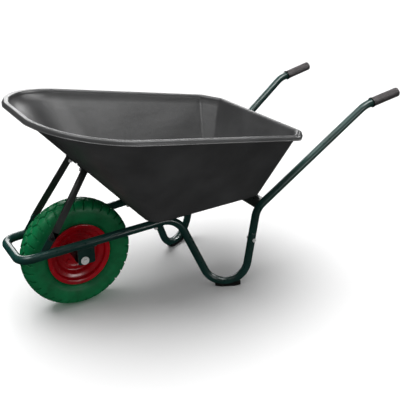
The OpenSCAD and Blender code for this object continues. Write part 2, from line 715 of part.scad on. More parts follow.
module left_bearing_inner_ring() color("#b9bcbe") from_axle() bearing_inner_ring();
module right_bearing_inner_ring() color("#b9bcbe") from_axle() on_side(-1) bearing_inner_ring();
module left_bearing_outer_ring() color("#b9bcbe") from_axle() bearing_outer_ring();
module right_bearing_outer_ring() color("#b9bcbe") from_axle() on_side(-1) bearing_outer_ring();
module left_bearing_balls() color("#d6d8da") from_axle() bearing_balls();
module right_bearing_balls() color("#d6d8da") from_axle() on_side(-1) bearing_balls();

module axle_spacer() along_axle() translate([0, 0, bearing_out + gap]) difference() {
    cylinder(d = spacer_d, h = bracket_in_y - bearing_out - 2 * gap);
    translate([0, 0, -1]) cylinder(d = axle_d + 2 * slide_gap, h = bracket_in_y);
}
module left_axle_spacer() color("#8d9092") from_axle() axle_spacer();
module right_axle_spacer() color("#8d9092") from_axle() on_side(-1) axle_spacer();

// ---------- hub, dust caps, rim and tyre ----------
hub_bore_d = bearing_d - 5;
module hub_tube() color("#26292a") from_axle() along_axle() difference() {
    cylinder(d = hub_d, h = hub_len, center = true);
    cylinder(d = hub_bore_d, h = hub_len + 2, center = true);
    for (end = [-1, 1]) translate([0, 0, end * (bearing_out - bearing_w / 2 + gap)])
        cylinder(d = bearing_d, h = bearing_w + 4 * gap, center = true);
    for (end = [-1, 1]) translate([0, 0, end * hub_len / 2])
        cylinder(d = bearing_d, h = 4, center = true);
}

cap_t = 2;
cap_skirt = 8;
cap_gap = 0.6;         // running gap between a dust cap and the spacer
module dust_cap() along_axle() difference() {
    translate([0, 0, hub_len / 2 - cap_skirt]) cylinder(d = hub_d + 2 * cap_t, h = cap_skirt + cap_t + gap);
    translate([0, 0, hub_len / 2 - cap_skirt - 1]) cylinder(d = hub_d + 2 * gap, h = cap_skirt + 1 + gap);
    cylinder(d = spacer_d + 2 * cap_gap, h = hub_len);
}
module left_dust_cap() color("#151616") from_axle() dust_cap();
module right_dust_cap() color("#151616") from_axle() on_side(-1) dust_cap();

// The rim's section, from the hub out to the rolled edge, as [distance from axle, distance from middle].
disc_r = 66;
well_r = rim_d / 2 - 32;
seat_r = rim_d / 2 - 15;
edge_r = rim_d / 2;
edge_y = rim_w / 2;
roll_r = 3.2;
rim_line = [
    [hub_d / 2 + gap, gap], [disc_r, gap], [well_r - 4, 9], [well_r, 14],
    [seat_r - 2, edge_y - 20], [seat_r, edge_y - 16], [seat_r, edge_y - 7],
    [seat_r + 2.5, edge_y - 4.5], [edge_r - roll_r, edge_y - 3.2]
];
// The same line moved sideways by t, with mitred corners.
function line_side(line, i) = let (d = unit(line[i + 1] - line[i])) [-d[1], d[0]];
function mitre(line, i) =
    i == 0 ? line_side(line, 0)
    : i == len(line) - 1 ? line_side(line, i - 1)
    : let (s = line_side(line, i - 1) + line_side(line, i)) 2 * s / (s * s);
function shifted(line, t) = [for (i = [0 : len(line) - 1]) line[i] + mitre(line, i) * t];

module at_rim_bolts() for (k = [0 : 3]) rotate(45 + 90 * k) translate([rim_bolt_r, 0, 0]) children();
rim_bolt_r = 45;
module rim_half() along_axle() difference() {
    rotate_extrude($fn = 96) {
        polygon(concat(rim_line, backwards(shifted(rim_line, rim_sheet))));
        translate([edge_r - roll_r, edge_y - roll_r]) circle(roll_r);
    }
    at_rim_bolts() bolt_hole(bolt_d, 4 * rim_sheet);
}
module left_rim_half() color("#b0101c") from_axle() rim_half();
module right_rim_half() color("#b0101c") from_axle() on_side(-1) rim_half();

rim_clamp = rim_sheet + 2 * gap;
module rim_bolts() color(zinc) from_axle() along_axle() at_rim_bolts() translate([0, 0, rim_clamp])
    hex_bolt(bolt_d, 2 * rim_clamp + nut_h + tail / 2, bolt_across, bolt_head_h);
module rim_nuts() color(zinc) from_axle() along_axle() at_rim_bolts() translate([0, 0, -rim_clamp - nut_h])
    hex_nut(bolt_d, bolt_across, nut_h);

// Half of the tyre's section: round shoulders above the rim's edge, then the bead inside the rim.
tyre_gap = 0.3;
tyre_edge_r = edge_r + 2;
tyre_height = (tyre_d / 2 - tyre_edge_r) / 1.86;
tyre_mid_r = tyre_d / 2 - tyre_height;
squareness = 0.8;      // below 1 squares the shoulders of the section
function shoulder(a) = [
    tyre_mid_r + tyre_height * sign(sin(a)) * pow(abs(sin(a)), squareness),
    tyre_w / 2 * pow(max(cos(a), 0), squareness)
];
crown = [for (a = [90 : -9 : -54]) shoulder(a)];
bead = [
    [tyre_edge_r, edge_y - 2 * roll_r - tyre_gap - 1.5],
    [seat_r + 4, edge_y - 7 - tyre_gap], [seat_r + tyre_gap, edge_y - 7.6],
    [seat_r + tyre_gap, edge_y - 16], [seat_r - 2 + tyre_gap, edge_y - 20 - tyre_gap],
    [well_r + 1.5, 14 - tyre_gap - 2]
];
half_section = concat(crown, bead);
module tyre() color("#0e7a45") from_axle() along_axle() rotate_extrude($fn = 96)
    polygon(concat(half_section, [for (p = backwards(half_section)) if (p[1] > 0.01) [p[0], -p[1]]]));

main_frame_tube();
left_axle_bracket();
right_axle_bracket();
left_brace_lug();
right_brace_lug();
left_brace();
right_brace();
left_handle_tube();
right_handle_tube();
rear_cross_member();
left_grip();
right_grip();
left_foot_shoe();
right_foot_shoe();
tray();
handle_joint_bolts();
handle_joint_nuts();
brace_lug_bolts();
brace_lug_nuts();
tray_front_bolts();
tray_front_nuts();
tray_rail_bolts();
tray_rail_nuts();
tray_rear_bolts();
tray_rear_nuts();
axle_bar();
axle_bolts();
axle_washers();
left_axle_spacer();
right_axle_spacer();
left_bearing_inner_ring();
right_bearing_inner_ring();
left_bearing_outer_ring();
right_bearing_outer_ring();
left_bearing_balls();
right_bearing_balls();
hub_tube();
left_dust_cap();
right_dust_cap();
left_rim_half();
right_rim_half();
rim_bolts();
rim_nuts();
tyre();
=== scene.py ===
import bmesh
import bpy
import numpy as np
from mathutils import Matrix, Vector


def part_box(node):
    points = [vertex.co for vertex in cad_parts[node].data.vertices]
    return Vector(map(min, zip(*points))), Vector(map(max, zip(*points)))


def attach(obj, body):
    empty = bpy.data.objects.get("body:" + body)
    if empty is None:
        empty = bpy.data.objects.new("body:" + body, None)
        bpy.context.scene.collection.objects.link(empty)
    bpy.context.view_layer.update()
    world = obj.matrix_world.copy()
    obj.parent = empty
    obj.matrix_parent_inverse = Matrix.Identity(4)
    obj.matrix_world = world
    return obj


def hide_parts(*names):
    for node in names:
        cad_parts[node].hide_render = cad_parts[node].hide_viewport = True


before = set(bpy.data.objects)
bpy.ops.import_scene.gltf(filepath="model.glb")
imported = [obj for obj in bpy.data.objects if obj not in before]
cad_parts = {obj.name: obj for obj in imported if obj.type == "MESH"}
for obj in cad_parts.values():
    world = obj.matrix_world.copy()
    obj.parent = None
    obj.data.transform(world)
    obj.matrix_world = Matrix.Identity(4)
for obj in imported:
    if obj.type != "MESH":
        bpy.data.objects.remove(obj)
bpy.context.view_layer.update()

# ---------------------------------------------------------------- main frame tube
# One length of round steel tube, cold bent into both legs, both rails and the front bar, then
# powder coated dark bottle green. Its open ends take the handle tubes just above the feet.

MM = 0.001
wheel_low, wheel_high = (np.array(corner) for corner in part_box("tyre"))
axle = (wheel_low + wheel_high) / 2
tube_r = 15 * MM


def along(x, y, z):
    """A place given in millimetres ahead of the axle, left of the middle and above the ground."""
    return np.array([x * MM + axle[0], y * MM, z * MM])


def unit(v):
    """The vector scaled to a length of one."""
    return v / np.linalg.norm(v)


def bent_path(corners, radii, arc_steps=16):
    """Centreline through the corners: each inner corner is an arc of its radius that touches both
    straight lengths, r * (-inward * cos(a) + ahead * sin(a)) round its centre."""
    headings = [unit(b - a) for a, b in zip(corners[:-1], corners[1:])]
    points = [corners[0][None]]
    for corner, radius, ahead, leaving in zip(corners[1:-1], radii, headings[:-1], headings[1:]):
        turn = np.arccos(ahead @ leaving)
        inward = unit(leaving - ahead * (ahead @ leaving))
        centre = corner - ahead * radius * np.tan(turn / 2) + inward * radius
        a = np.linspace(0, turn, arc_steps)[:, None]
        points.append(centre + radius * (ahead * np.sin(a) - inward * np.cos(a)))
    points.append(corners[-1][None])
    return np.concatenate(points)


def rolled_in(path, radius, edge):
    """The path and its radii with both ends rounded over: the last `edge` of each end shrinks as a
    quarter circle, radius - edge * (1 - cos(a))."""
    a = np.linspace(0, np.pi / 2, 5)[:, None]
    first = path[0] + unit(path[1] - path[0]) * edge * (1 - np.sin(a[::-1]))
    last = path[-1] + unit(path[-2] - path[-1]) * edge * (1 - np.sin(a))
    ends = radius - edge * (1 - np.cos(a[:, 0]))
    radii = np.concatenate([ends[::-1], np.full(len(path) - 2, radius), ends])
    return np.concatenate([first, path[1:-1], last]), radii


def round_section(path, radii, around=40):
    """Rings square to a path. The ring's first axis is carried from ring to ring by taking out
    its part along the new heading, so the skin never twists."""
    ahead = np.gradient(path, axis=0)
    ahead /= np.linalg.norm(ahead, axis=1)[:, None]
    first = [unit(np.cross(ahead[0], [0.3, 0.1, 1]))]
    for heading in ahead[1:]:
        first.append(unit(first[-1] - heading * (heading @ first[-1])))
    first = np.array(first)[:, None]
    second = np.cross(ahead[:, None], first)
    t = np.linspace(0, 2 * np.pi, around, endpoint=False)[None, :, None]
    return path[:, None] + radii[:, None, None] * (first * np.cos(t) + second * np.sin(t))


def skin(name, grid, closed_rows=False, sharp=35):
    """A mesh over a grid of points: four neighbours make a face, columns run right round, and
    open rows are closed by a fan to the middle of the first and of the last row."""
    rows, columns = grid.shape[:2]
    i = np.arange(rows if closed_rows else rows - 1)[:, None]
    j = np.arange(columns)[None]
    i_next, j_next = (i + 1) % rows, (j + 1) % columns
    faces = np.stack([i * columns + j, i * columns + j_next,
                      i_next * columns + j_next, i_next * columns + j], -1).reshape(-1, 4)
    points = grid.reshape(-1, 3)
    a, b, c, d = (points[faces[:, k]] for k in range(4))
    inside_out = (np.cross(b - a, c - a) * a + np.cross(c - a, d - a) * a).sum() < 0
    faces = faces.tolist()
    if not closed_rows:
        points = np.concatenate([points, grid[:1].mean(1), grid[-1:].mean(1)])
        last = (rows - 1) * columns
        j, j_next = j[0], j_next[0]
        first_fan = np.stack([j_next, j, np.full(columns, rows * columns)], -1)
        last_fan = np.stack([last + j, last + j_next, np.full(columns, rows * columns + 1)], -1)
        faces += first_fan.tolist() + last_fan.tolist()
    mesh = bpy.data.meshes.new(name)
    mesh.from_pydata(points.tolist(), [], faces)
    if inside_out:
        mesh.flip_normals()
    mesh.shade_smooth()
    mesh.set_sharp_from_angle(angle=np.radians(sharp))
    piece = bpy.data.objects.new(name, mesh)
    bpy.context.scene.collection.objects.link(piece)
    return piece


def fit(piece, finish, slot, body, *nodes):
    """Gives a piece its material, rides it on a body and lets it stand for nodes; slot is not used."""
    piece.data.materials.clear()
    piece.data.materials.append(finish)
    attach(piece, body)
    if nodes:
        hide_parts(*nodes)
    return piece


class Finish:
    """Node material that reads Object coordinates: clouds and grain are noise in metres."""

    def __init__(self, name, roughness=0.5, metallic=0.0, coat=0.0, coat_roughness=0.1, ior=1.5,
                 specular=0.5):
        self.material = bpy.data.materials.new(name)
        self.material.use_nodes = True
        self.nodes = self.material.node_tree.nodes
        self.links = self.material.node_tree.links
        self.shader = self.nodes["Principled BSDF"]
        self.shader.inputs["Roughness"].default_value = roughness
        self.shader.inputs["Metallic"].default_value = metallic
        self.shader.inputs["Coat Weight"].default_value = coat
        self.shader.inputs["Coat Roughness"].default_value = coat_roughness
        self.shader.inputs["IOR"].default_value = ior
        self.shader.inputs["Specular IOR Level"].default_value = specular
        self.place = self.nodes.new("ShaderNodeTexCoord").outputs["Object"]
        self.height = None

    def join(self, source, node, socket):
        """Feeds a node's input with another node's output, or sets it to a plain value."""
        if isinstance(source, bpy.types.NodeSocket):
            self.links.new(source, node.inputs[socket])
        else:
            node.inputs[socket].default_value = source

    def noise(self, size, detail=3.0, stretch=(1, 1, 1), rough=0.5):
        """Cloud whose blobs are `size` metres across, drawn out along each axis by `stretch`."""
        mapping = self.nodes.new("ShaderNodeMapping")
        mapping.inputs["Scale"].default_value = [1 / size / s for s in stretch]
        self.links.new(self.place, mapping.inputs["Vector"])
        node = self.nodes.new("ShaderNodeTexNoise")
        node.inputs["Scale"].default_value = 1.0
        node.inputs["Detail"].default_value = detail
        node.inputs["Roughness"].default_value = rough
        self.links.new(mapping.outputs["Vector"], node.inputs["Vector"])
        return node.outputs["Fac"]

    def spread(self, source, low, high, to_low=0.0, to_high=1.0):
        """Value stretched in a straight line from low..high to the new limits, and held there."""
        node = self.nodes.new("ShaderNodeMapRange")
        self.links.new(source, node.inputs["Value"])
        limits = {"From Min": low, "From Max": high, "To Min": to_low, "To Max": to_high}
        for socket, value in limits.items():
            node.inputs[socket].default_value = value
        return node.outputs["Result"]

    def blend(self, share, first, second):
        """Colour that goes from the first to the second as share goes from 0 to 1."""
        node = self.nodes.new("ShaderNodeMix")
        node.data_type = "RGBA"
        self.links.new(share, node.inputs["Factor"])
        self.join(first if isinstance(first, bpy.types.NodeSocket) else (*first, 1), node, "A")
        self.join(second if isinstance(second, bpy.types.NodeSocket) else (*second, 1), node, "B")
        return node.outputs["Result"]

    def height_above_ground(self):
        """The Z part of the place on the piece, in metres."""
        node = self.nodes.new("ShaderNodeSeparateXYZ")
        self.links.new(self.place, node.inputs["Vector"])
        return node.outputs["Z"]

    def product(self, first, second):
        """The two values multiplied."""
        node = self.nodes.new("ShaderNodeMath")
        node.operation = "MULTIPLY"
        self.join(first, node, 0)
        self.join(second, node, 1)
        return node.outputs["Value"]

    def bump(self, source, depth, strength=1.0):
        """Raises the surface by the value times `depth` metres, on top of earlier bumps."""
        node = self.nodes.new("ShaderNodeBump")
        node.inputs["Strength"].default_value = strength
        node.inputs["Distance"].default_value = depth
        self.links.new(source, node.inputs["Height"])
        if self.height is not None:
            self.links.new(self.height, node.inputs["Normal"])
        self.height = node.outputs["Normal"]
        self.links.new(self.height, self.shader.inputs["Normal"])
        return self

    def colour(self, source):
        """Feeds the shader's base colour."""
        self.links.new(source, self.shader.inputs["Base Color"])
        return self

    def rough(self, source):
        """Feeds the shader's roughness."""
        self.links.new(source, self.shader.inputs["Roughness"])
        return self


def painted_steel(name, deep, light, dust, orange_peel=0.00006, dusting=0.08, gloss=0.26):
    """Powder coat: colour drifts from deep to light, a thin film of dust sits where the finer
    cloud is strong, and the gloss ripples as orange peel."""
    finish = Finish(name, coat=0.22, coat_roughness=0.06, specular=0.45)
    drift = finish.spread(finish.noise(0.09, 4), 0.3, 0.7)
    film = finish.spread(finish.noise(0.012, 6, rough=0.65), 0.55, 0.80, 0.0, dusting)
    finish.colour(finish.blend(film, finish.blend(drift, deep, light), dust))
    finish.rough(finish.spread(finish.noise(0.02, 5), 0.3, 0.7, gloss, gloss + 0.12))
    finish.bump(finish.noise(0.0022, 2), orange_peel)
    finish.bump(finish.noise(0.03, 2), 3 * orange_peel)
    return finish.material


FRAME_DEEP = (0.0045, 0.033, 0.027)
FRAME_LIGHT = (0.0090, 0.058, 0.049)
FRAME_DUST = (0.11, 0.15, 0.14)
frame_paint = painted_steel("bottle_green_paint", FRAME_DEEP, FRAME_LIGHT, FRAME_DUST)

NOSE_X, NOSE_Z = 225, 261
LEG_TOP_X, LEG_TOP_Z = -348, 294
FOOT_Z, JOINT_Z, HANDLE_LOW_Z = 19, 205, 297
LEG_BEND = 84 * MM
NOSE_BEND = 42 * MM
TUBE_EDGE = 1.2 * MM
nose = along(NOSE_X, 93, NOSE_Z)
leg_top = along(LEG_TOP_X, 121, LEG_TOP_Z)
foot_front = along(-460, 174.5, FOOT_Z)
foot_rear = along(-575, 231.5, FOOT_Z)
handle_low = along(-634, 217, HANDLE_LOW_Z)
joint_share = (JOINT_Z - FOOT_Z) / (HANDLE_LOW_Z - FOOT_Z)
joint = foot_rear + (handle_low - foot_rear) * joint_share
left_half = [joint, foot_rear, foot_front, leg_top, nose]
corners = left_half + [point * [1, -1, 1] for point in left_half[::-1]]
bends = [LEG_BEND, LEG_BEND, LEG_BEND, NOSE_BEND]
frame_path = bent_path(corners, bends + bends[::-1])
frame_tube = skin("frame_tube", round_section(*rolled_in(frame_path, tube_r, TUBE_EDGE)))
fit(frame_tube, frame_paint, "frame_paint", "frame", "main_frame_tube")

# ---------------------------------------------------------------- handle tubes
# Two lengths of the same tube, bent above the joint and again before the grip. The lower end is
# swaged to slide into the leg, so a thin seam shows where the two full diameters meet.

HANDLE_BEND = 80 * MM
GRIP_BEND = 100 * MM
SEAM = 0.6 * MM
GRIP_END = 4 * MM
handle_high = along(-1090, 260, 631)
handle_end = along(-1247, 269, 664)
leg_ahead = unit(handle_low - foot_rear)
grip_ahead = unit(handle_end - handle_high)
handle_corners = [joint + leg_ahead * SEAM, handle_low, handle_high, handle_end - grip_ahead * GRIP_END]
handle_path = bent_path(handle_corners, [HANDLE_BEND, GRIP_BEND])
for side, sign in (("left", 1), ("right", -1)):
    path, radii = rolled_in(handle_path * [1, sign, 1], tube_r, TUBE_EDGE)
    handle = skin(side + "_handle", round_section(path, radii))
    fit(handle, frame_paint, "frame_paint", "frame", side + "_handle_tube")

# ---------------------------------------------------------------- swaged joint
# The swaged neck of each handle tube, which shows as a dark line inside the seam between the
# handle and the leg. Only a few millimetres of it are needed, the rest is inside the leg.

NECK_REACH = 3 * MM
NECK_STEP = 1.3 * MM
NECK_RINGS = 6
for side, sign in (("left", 1), ("right", -1)):
    neck = np.linspace(joint - NECK_REACH * leg_ahead, joint + NECK_REACH * leg_ahead, NECK_RINGS)
    neck_radii = np.full(NECK_RINGS, tube_r - NECK_STEP)
    swage = skin(side + "_joint_neck", round_section(neck * [1, sign, 1], neck_radii))
    fit(swage, frame_paint, "frame_paint", "frame")

# ---------------------------------------------------------------- grips
# Soft brown-grey plastic sleeves pushed over the tube ends, ribbed lengthwise for the palm,
# with a plain dark collar against the tube and a rounded closed end. The tube stops short of it.

GRIP_R = 17.65 * MM
GRIP_LENGTH = 128 * MM
COLLAR_R = 19.6 * MM
COLLAR_LENGTH = 5 * MM
COLLAR_EDGE = 1.4 * MM
RIBS = 22
RIB_DEPTH = 0.9 * MM
END_ROUND = 5 * MM
GRIP_DEEP = (0.022, 0.017, 0.0185)
GRIP_LIGHT = (0.050, 0.041, 0.043)

grip_finish = Finish("ribbed_grip_plastic", ior=1.45)
grip_mottle = grip_finish.spread(grip_finish.noise(0.008, 6, rough=0.7), 0.3, 0.7)
grip_cloud = grip_finish.spread(grip_finish.noise(0.04, 2), 0.35, 0.65)
grip_base = grip_finish.blend(grip_mottle, GRIP_DEEP, GRIP_LIGHT)
grip_finish.colour(grip_finish.blend(grip_cloud, grip_base, GRIP_LIGHT))
grip_finish.rough(grip_finish.spread(grip_mottle, 0, 1, 0.42, 0.62))
grip_finish.bump(grip_finish.noise(0.0012, 3), 0.00015)
black_finish = Finish("black_moulded_plastic", ior=1.45)
black_cloud = black_finish.spread(black_finish.noise(0.01, 5), 0.3, 0.7)
black_finish.colour(black_finish.blend(black_cloud, (0.004, 0.004, 0.0045), (0.010, 0.010, 0.010)))
black_finish.rough(black_finish.spread(black_cloud, 0, 1, 0.36, 0.5))
black_finish.bump(black_finish.noise(0.001, 3), 0.0001)


def ribbed_sleeve(start, ahead, length, radius, ribs, depth):
    """Turned sleeve along `ahead`: r = radius - depth * fade(s) * (0.5 - 0.5 cos(ribs * t)) ** 0.6,
    where fade is 1 on the palm and 0 near both ends, and the last END_ROUND rounds over."""
    near_end = 1 - 0.1 * np.cos(np.linspace(0, np.pi / 2, 14))[1:]
    s = np.concatenate([np.linspace(0, 0.9, 40), near_end])
    t = np.linspace(0, 2 * np.pi, ribs * 10, endpoint=False)
    fade = np.clip((s - 0.10) / 0.05, 0, 1) * np.clip((0.93 - s) / 0.04, 0, 1)
    groove = (0.5 - 0.5 * np.cos(ribs * t)) ** 0.6
    end = np.clip((s * length - length + END_ROUND) / END_ROUND, 0, 1)
    r = radius - END_ROUND * (1 - np.sqrt(1 - end ** 2 * 0.98)) * 0.7
    r = r[:, None] - depth * fade[:, None] * groove
    path = start + ahead * (s * length)[:, None]
    rings = round_section(path, np.ones(len(s)), len(t))
    return path[:, None] + (rings - path[:, None]) * r[..., None]


for side, sign in (("left", 1), ("right", -1)):
    ahead = grip_ahead * [1, sign, 1]
    start = (handle_end - grip_ahead * GRIP_LENGTH) * [1, sign, 1]
    grip = skin(side + "_ribbed_grip",
                ribbed_sleeve(start, ahead, GRIP_LENGTH, GRIP_R, RIBS, RIB_DEPTH), sharp=60)
    fit(grip, grip_finish.material, "grip_plastic", "frame", side + "_grip")
    collar_path = np.linspace(start, start + ahead * COLLAR_LENGTH, 6)
    collar = skin(side + "_grip_collar", round_section(*rolled_in(collar_path, COLLAR_R, COLLAR_EDGE)))
    fit(collar, black_finish.material, "grip_plastic", "frame")

# ---------------------------------------------------------------- plates, lugs and braces
# Sheared and folded steel plate: the axle brackets and lugs are welded on and coated with the
# frame, the braces and the cross member are satin charcoal. Their sheared edges are broken.

BRACE_DEEP = (0.020, 0.024, 0.022)
BRACE_LIGHT = (0.046, 0.052, 0.048)
BRACE_DUST = (0.10, 0.10, 0.095)
BREAK_ANGLE = np.radians(30)
brace_paint = painted_steel("charcoal_paint", BRACE_DEEP, BRACE_LIGHT, BRACE_DUST)


def eased_copy(node, name, edge, segments=2):
    """A copy of a CAD node with its loose triangles merged and its corners rounded over."""
    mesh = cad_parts[node].data.copy()
    shape = bmesh.new()
    shape.from_mesh(mesh)
    bmesh.ops.remove_doubles(shape, verts=shape.verts, dist=2e-6)
    bmesh.ops.dissolve_limit(shape, angle_limit=np.radians(0.6), verts=shape.verts, edges=shape.edges)
    shape.to_mesh(mesh)
    shape.free()
    mesh.name = name
    mesh.shade_smooth()
    mesh.set_sharp_from_angle(angle=BREAK_ANGLE)
    piece = bpy.data.objects.new(name, mesh)
    bpy.context.scene.collection.objects.link(piece)
    bevel = piece.modifiers.new("eased_edges", "BEVEL")
    bevel.width = edge
    bevel.segments = segments
    bevel.limit_method = "ANGLE"
    bevel.angle_limit = BREAK_ANGLE
    bevel.use_clamp_overlap = True
    return piece


for side in ("left", "right"):
    fit(eased_copy(side + "_axle_bracket", side + "_bracket_plate", 0.7 * MM),
        frame_paint, "frame_paint", "frame", side + "_axle_bracket")
    fit(eased_copy(side + "_brace_lug", side + "_lug_plate", 0.6 * MM),
        frame_paint, "frame_paint", "frame", side + "_brace_lug")
    fit(eased_copy(side + "_brace", side + "_brace_strap", 0.7 * MM),
        brace_paint, "brace_paint", "frame", side + "_brace")
fit(eased_copy("rear_cross_member", "cross_angle", 0.7 * MM),
    brace_paint, "brace_paint", "frame", "rear_cross_member")

# ---------------------------------------------------------------- weld beads
# Short fillets of weld metal, coated with the frame: under each rail along the axle bracket, and
# on each rail along the brace lug.

BEAD_R = 1.9 * MM
RIPPLE = 2.4 * MM
BEAD_STEPS = 70
BEAD_OUT, BEAD_DOWN = 8, -13.6


def rippled_bead(name, start, end):
    """Rod whose radius swells with each ripple, as r = R * (1 + 0.14 * sin(2 pi s / RIPPLE)), with
    its ends drawn down like a frozen weld pool."""
    share = np.linspace(0, 1, BEAD_STEPS)
    path = start + (end - start) * share[:, None]
    ripple = 1 + 0.14 * np.sin(2 * np.pi * share * np.linalg.norm(end - start) / RIPPLE)
    taper = np.sqrt(1 - (2 * np.abs(share - 0.5)) ** 12 * 0.9)
    return skin(name, round_section(path, BEAD_R * ripple * taper, 14), sharp=80)


def on_rail(x, out, up):
    """A place beside the left rail: x in millimetres ahead of the axle, then out and up from it."""
    share = (NOSE_X - x) / (NOSE_X - LEG_TOP_X)
    return nose + (leg_top - nose) * share + np.array([0, out, up]) * MM


for side, sign in (("left", 1), ("right", -1)):
    for place, back_x, front_x, out, up in (("outer", -36, 22, BEAD_OUT, BEAD_DOWN),
                                            ("inner", -36, 22, -BEAD_OUT, BEAD_DOWN),
                                            ("lug", 97, 120, -5.0, 14.6)):
        start, end = (on_rail(x, out, up) * [1, sign, 1] for x in (back_x, front_x))
        bead = rippled_bead(f"{side}_{place}_weld", start, end)
        fit(bead, frame_paint, "frame_paint", "frame")

# ---------------------------------------------------------------- foot shoes
# Black plastic shoes clipped under the U of each leg. Their soles are scuffed and dusty.

SHOE_BLACK = (0.006, 0.006, 0.006)
SHOE_WORN = (0.032, 0.031, 0.029)
shoe_finish = Finish("scuffed_black_plastic", ior=1.45)
shoe_wear = shoe_finish.spread(shoe_finish.noise(0.01, 6, (2, 1, 1), 0.7), 0.45, 0.7)
near_ground = shoe_finish.spread(shoe_finish.height_above_ground(), 0.0, 0.014, 1.0, 0.15)
shoe_finish.colour(shoe_finish.blend(shoe_finish.product(shoe_wear, near_ground), SHOE_BLACK, SHOE_WORN))
shoe_finish.rough(shoe_finish.spread(shoe_wear, 0, 1, 0.38, 0.6))
shoe_finish.bump(shoe_finish.noise(0.0011, 3), 0.00012)
for side in ("left", "right"):
    fit(eased_copy(side + "_foot_shoe", side + "_shoe", 1.6 * MM, 3),
        shoe_finish.material, "shoe_plastic", "frame", side + "_foot_shoe")

# ---------------------------------------------------------------- tray
# Deep tray moulded in anthracite polypropylene: a small floor on the rails, straight drafted
# walls, a widely rounded nose, faceted rear corners and a hollow rolled lip all round.

RIM_FRONT, RIM_BACK = 163.5, -795.5
RIM_FRONT_Z, RIM_BACK_Z = 743, 583
RIM_FRONT_HALF, RIM_BACK_HALF = 380.4, 333.5
RIM_SWEEP = 68
FLOOR_FRONT, FLOOR_REAR = -235, -676
FLOOR_FRONT_HALF, FLOOR_REAR_HALF = 154, 185
WALL, FLOOR_THICK = 5, 5
FLOOR_ABOVE_RAIL = 15.05
EDGE = 10
REAR_CUT, FLOOR_CUT = 66, 20
ARC_STEPS = 28
WALL_ROWS = 14
rim_slope = (RIM_FRONT_Z - RIM_BACK_Z) / (RIM_FRONT - RIM_BACK)
rim_tilt = np.arctan(rim_slope)
floor_slope = (LEG_TOP_Z - NOSE_Z) / (NOSE_X - LEG_TOP_X)
floor_tilt = np.arctan(floor_slope)
rail_tilt = np.arcsin(unit(leg_top - nose)[2])
floor_z0 = NOSE_Z + floor_slope * NOSE_X + FLOOR_ABOVE_RAIL / np.cos(rail_tilt)


def rounded_outline(half):
    """Closed outline of the tray from the corners of its left half, each (x, y, radius): at a
    corner the arc is the slerp of its two radii, (first sin((1-k)w) + last sin(kw)) / sin(w)."""
    half = np.array(half, float)
    corners = np.concatenate([half, half[::-1] * [1, -1, 1]])
    at, radius = corners[:, :2], corners[:, 2:]
    before = np.roll(at, 1, axis=0) - at
    after = np.roll(at, -1, axis=0) - at
    before /= np.linalg.norm(before, axis=1)[:, None]
    after /= np.linalg.norm(after, axis=1)[:, None]
    half_angle = np.arccos((before * after).sum(1))[:, None] / 2
    middle = before + after
    middle /= np.linalg.norm(middle, axis=1)[:, None]
    centre = at + middle * radius / np.sin(half_angle)
    first = (at + before * radius / np.tan(half_angle) - centre)[:, None]
    last = (at + after * radius / np.tan(half_angle) - centre)[:, None]
    sweep = (np.pi - 2 * half_angle)[:, None]
    k = np.linspace(0, 1, ARC_STEPS)[None, :, None]
    arcs = centre[:, None] + (first * np.sin(sweep * (1 - k)) + last * np.sin(sweep * k)) / np.sin(sweep)
    return arcs.reshape(-1, 2)


def rim_ring(inset, up):
    """Outline in the lip's sloping plane, drawn in by `inset` and raised by `up` millimetres."""
    front, back = RIM_FRONT / np.cos(rim_tilt) - inset, RIM_BACK / np.cos(rim_tilt) + inset
    cut = REAR_CUT - 0.41 * inset
    taper = (RIM_FRONT_HALF - RIM_BACK_HALF) / (RIM_FRONT - RIM_SWEEP - RIM_BACK)
    flat = rounded_outline([
        (front, 118, 130), (front - RIM_SWEEP, RIM_FRONT_HALF - inset, 266 - inset),
        (back + cut, RIM_BACK_HALF - inset + taper * cut, 45 - 0.6 * inset),
        (back, RIM_BACK_HALF - inset - cut, 45 - 0.6 * inset)])
    x, y = flat.T
    height_at_axle = RIM_FRONT_Z - rim_slope * RIM_FRONT
    return np.stack([x * np.cos(rim_tilt) - up * np.sin(rim_tilt), y,
                     height_at_axle + x * np.sin(rim_tilt) + up * np.cos(rim_tilt)], -1)


def floor_ring(inset, up):
    """Outline in the floor's plane, `up` millimetres over its underside and drawn in by `inset`.
    With height it follows the walls, which lean out 0.96 at the front, 0.30 at the back and 0.48
    to 0.42 at the sides."""
    front = FLOOR_FRONT / np.cos(floor_tilt) + 0.96 * up - inset
    rear = FLOOR_REAR / np.cos(floor_tilt) - 0.30 * up + inset
    half_front, half_rear = FLOOR_FRONT_HALF + 0.48 * up - inset, FLOOR_REAR_HALF + 0.42 * up - inset
    flat = rounded_outline([
        (front, 75, 150), (front - 1, half_front, 52),
        (rear + FLOOR_CUT, half_rear - 0.066 * FLOOR_CUT, 14), (rear, half_rear - FLOOR_CUT, 14)])
    x, y = flat.T
    return np.stack([x * np.cos(floor_tilt) + up * np.sin(floor_tilt), y,
                     floor_z0 - x * np.sin(floor_tilt) + up * np.cos(floor_tilt)], -1)


def cut_corners(points, rounds):
    """Open polyline with its corners cut at a quarter and three quarters of each side."""
    for _ in range(rounds):
        a, b = points[:-1], points[1:]
        cut = np.stack([0.75 * a + 0.25 * b, 0.25 * a + 0.75 * b], 1).reshape(-1, points.shape[1])
        points = np.concatenate([points[:1], cut[1:-1], points[-1:]])
    return points


